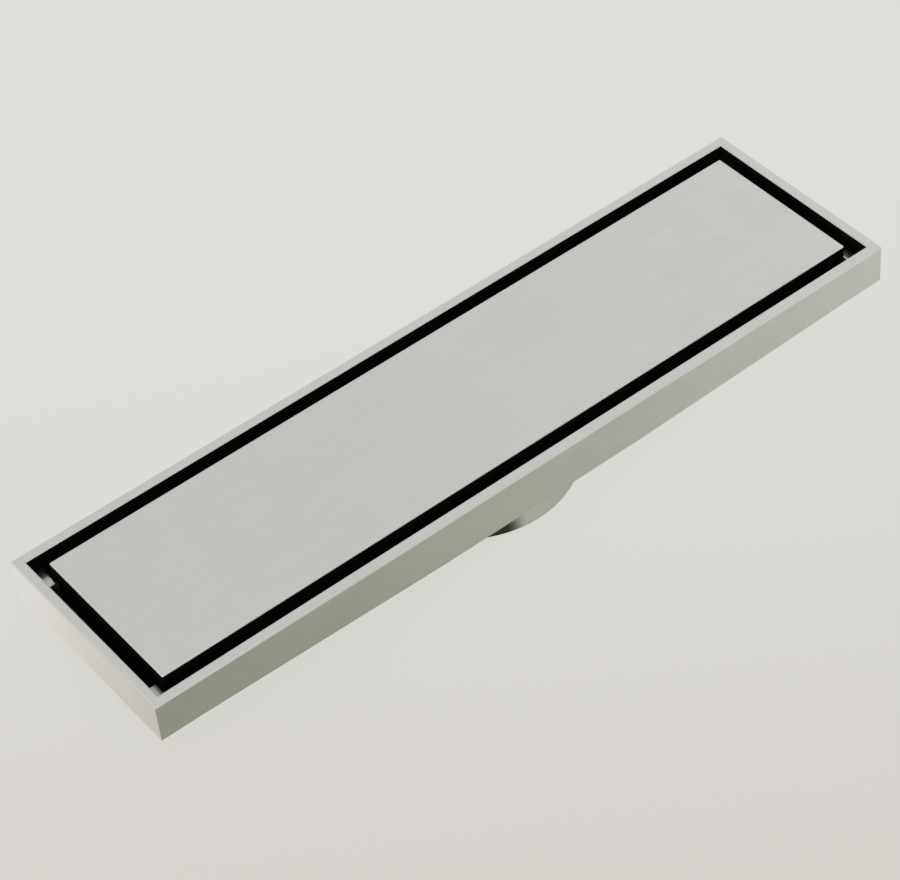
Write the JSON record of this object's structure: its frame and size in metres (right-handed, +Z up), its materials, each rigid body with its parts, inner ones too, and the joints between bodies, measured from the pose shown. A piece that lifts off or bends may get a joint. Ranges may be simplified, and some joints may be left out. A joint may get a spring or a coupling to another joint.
{
  "type": "floor drain",
  "caption": "Rectangular tile-insert floor drain: bar frame, flush reversible tray with a drainage gap all round, sloping floor and a round outlet collar that holds a water-seal trap.",
  "frame": {"origin": "centre of the outlet collar's lower end, which is the lowest point of the drain", "axes": "+X along the drain, +Y across it, +Z up through the cover"},
  "size_m": [0.3, 0.08, 0.0272],
  "materials": {
    "satin_steel": "satin, fine grain along the length",
    "coated_steel": "steel sheet with a matt black coat inside the channel",
    "moulded_plastic": "moulded, fine matt texture",
    "seal_rubber": "matt"
  },
  "bodies": {
    "root": {"rim_frame": "satin_steel", "tile_tray": "satin_steel", "tray_feet": "satin_steel", "outlet_collar": "satin_steel", "channel_pan": "coated_steel", "trap_cup": "moulded_plastic", "trap_bell": "moulded_plastic", "trap_seal_ring": "seal_rubber", "hair_strainer": "satin_steel", "strainer_screw": "satin_steel"}
  },
  "joints": []
}
